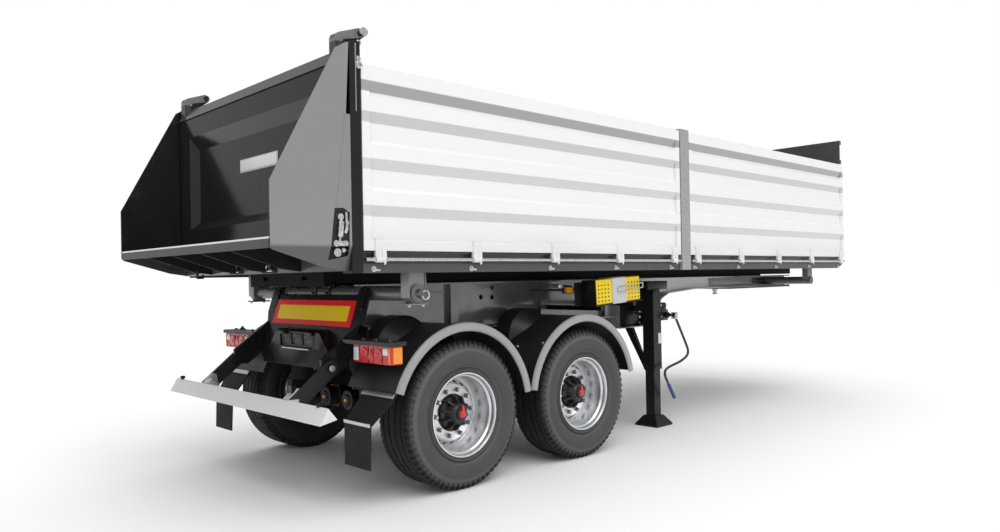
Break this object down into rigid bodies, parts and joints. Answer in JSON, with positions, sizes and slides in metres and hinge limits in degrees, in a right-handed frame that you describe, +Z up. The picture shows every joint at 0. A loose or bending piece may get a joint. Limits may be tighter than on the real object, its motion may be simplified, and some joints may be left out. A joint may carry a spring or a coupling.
{
  "type": "tipper semi-trailer",
  "caption": "Two-axle three-way tipper semi-trailer with drop sides, a top-hung tailgate, a rear chute, landing legs and a folding underrun guard.",
  "frame": {"origin": "on the ground, at the middle of the trailer's length and width", "axes": "+X towards the kingpin, +Y to the left, +Z up"},
  "size_m": [7.99, 2.546, 3.18],
  "materials": {
    "chassis_paint": "semi-gloss near-black coat",
    "bed_paint": "gloss anthracite paint",
    "side_panel": "satin white-silver coat on pressed sheet",
    "bright_steel": "zinc-plated steel",
    "chrome_tube": "hard-chromed cylinder tube",
    "aluminium": "bright machined aluminium",
    "tyre": "black tyre rubber",
    "rubber": "matt black rubber",
    "black_plastic": "black moulded plastic",
    "grey_plastic": "grey moulded plastic",
    "red_lens": "clear coloured lens",
    "orange_lens": "clear orange lens",
    "yellow_plastic": "yellow moulded plastic",
    "board": "retro-reflective red and yellow film"
  },
  "bodies": {
    "chassis": {"chassis_beams": "chassis_paint", "cross_tubes": "chassis_paint", "tipping_shafts": "chassis_paint", "rear_plate": "chassis_paint", "guard_brackets": "chassis_paint", "coupler_plate": "chassis_paint", "landing_legs": "chassis_paint", "landing_crank": "chassis_paint", "hangers": "chassis_paint", "trailing_arms": "chassis_paint", "axles": "chassis_paint", "shock_absorbers": "chassis_paint", "fender_stays": "chassis_paint", "chock_holder": "chassis_paint", "air_tanks": "chassis_paint", "cylinder_cradle": "chassis_paint", "kingpin": "bright_steel", "air_bellows": "rubber", "mud_flaps": "rubber", "rest_pads": "rubber", "fenders": "black_plastic", "lamp_housings": "black_plastic", "fender_lips": "grey_plastic", "lamp_lenses": "red_lens", "side_markers": "orange_lens", "chocks": "yellow_plastic", "marker_board": "board"},
    "bed": {"bed_floor": "bed_paint", "bed_rails": "bed_paint", "bed_crossmembers": "bed_paint", "bed_subframe": "bed_paint", "bed_brackets": "bright_steel", "headboard": "bed_paint", "rear_posts": "bed_paint", "chute_cheeks": "bed_paint", "chute_floor": "bed_paint", "mid_stakes": "bed_paint", "hinge_rods": "bright_steel"},
    "tailgate": {"tailgate": "bed_paint"},
    "guard": {"guard": "aluminium"},
    "cylinder": {"cylinder_barrel": "chassis_paint"},
    "stage_1": {"cylinder_stage_1": "chrome_tube"},
    "stage_2": {"cylinder_stage_2": "chrome_tube"},
    "stage_3": {"cylinder_stage_3": "chrome_tube"},
    "stage_4": {"cylinder_stage_4": "chrome_tube"},
    "drop_right_rear": {"side_right_rear": "side_panel"},
    "wheel_right_rear": {"tyre_right_rear": "tyre", "rim_right_rear": "aluminium"},
    "drop_right_front": {"side_right_front": "side_panel"},
    "wheel_right_front": {"tyre_right_front": "tyre", "rim_right_front": "aluminium"},
    "drop_left_rear": {"side_left_rear": "side_panel"},
    "wheel_left_rear": {"tyre_left_rear": "tyre", "rim_left_rear": "aluminium"},
    "drop_left_front": {"side_left_front": "side_panel"},
    "wheel_left_front": {"tyre_left_front": "tyre", "rim_left_front": "aluminium"}
  },
  "joints": [
    {"name": "bed_tip", "type": "hinge", "parent": "chassis", "child": "bed", "pos_m": [-2.875, 0, 1.405], "axis": [0, -1, 0], "range_deg": [0, 45]},
    {"name": "tailgate_swing", "type": "hinge", "parent": "bed", "child": "tailgate", "pos_m": [-3.328, 0, 3.08], "axis": [0, 1, 0], "range_deg": [0, 60]},
    {"name": "guard_fold", "type": "hinge", "parent": "chassis", "child": "guard", "pos_m": [-3.275, 0, 0.897], "axis": [0, -1, 0], "range_deg": [-70, 0]},
    {"name": "cylinder_tilt", "type": "hinge", "parent": "chassis", "child": "cylinder", "pos_m": [0.31, 0, 1.27], "axis": [0, -1, 0], "range_deg": [0, 22.6]},
    {"name": "stage_1_slide", "type": "slide", "parent": "cylinder", "child": "stage_1", "axis": [0, 0, 1], "range_m": [0, 0.6063]},
    {"name": "stage_2_slide", "type": "slide", "parent": "stage_1", "child": "stage_2", "axis": [0, 0, 1], "range_m": [0, 0.6063]},
    {"name": "stage_3_slide", "type": "slide", "parent": "stage_2", "child": "stage_3", "axis": [0, 0, 1], "range_m": [0, 0.6063]},
    {"name": "stage_4_slide", "type": "slide", "parent": "stage_3", "child": "stage_4", "axis": [0, 0, 1], "range_m": [0, 0.6063]},
    {"name": "drop_right_rear_fold", "type": "hinge", "parent": "bed", "child": "drop_right_rear", "pos_m": [0, -1.253, 1.633], "axis": [-1, 0, 0], "range_deg": [-175, 0]},
    {"name": "drop_right_front_fold", "type": "hinge", "parent": "bed", "child": "drop_right_front", "pos_m": [0, -1.253, 1.633], "axis": [-1, 0, 0], "range_deg": [-175, 0]},
    {"name": "drop_left_rear_fold", "type": "hinge", "parent": "bed", "child": "drop_left_rear", "pos_m": [0, 1.253, 1.633], "axis": [1, 0, 0], "range_deg": [-175, 0]},
    {"name": "drop_left_front_fold", "type": "hinge", "parent": "bed", "child": "drop_left_front", "pos_m": [0, 1.253, 1.633], "axis": [1, 0, 0], "range_deg": [-175, 0]},
    {"name": "wheel_right_rear_spin", "type": "hinge", "parent": "chassis", "child": "wheel_right_rear", "pos_m": [-2.49, -1.048, 0.53], "axis": [0, 1, 0], "continuous": true},
    {"name": "wheel_right_front_spin", "type": "hinge", "parent": "chassis", "child": "wheel_right_front", "pos_m": [-1.18, -1.048, 0.53], "axis": [0, 1, 0], "continuous": true},
    {"name": "wheel_left_rear_spin", "type": "hinge", "parent": "chassis", "child": "wheel_left_rear", "pos_m": [-2.49, 1.048, 0.53], "axis": [0, 1, 0], "continuous": true},
    {"name": "wheel_left_front_spin", "type": "hinge", "parent": "chassis", "child": "wheel_left_front", "pos_m": [-1.18, 1.048, 0.53], "axis": [0, 1, 0], "continuous": true}
  ],
  "couplings": [
    {"joint": "cylinder_tilt", "follows": "bed_tip", "ratio": 0.5},
    {"joint": "stage_1_slide", "follows": "bed_tip", "m_per_rad": 0.7694},
    {"joint": "stage_2_slide", "follows": "bed_tip", "m_per_rad": 0.7694},
    {"joint": "stage_3_slide", "follows": "bed_tip", "m_per_rad": 0.7694},
    {"joint": "stage_4_slide", "follows": "bed_tip", "m_per_rad": 0.7694}
  ]
}
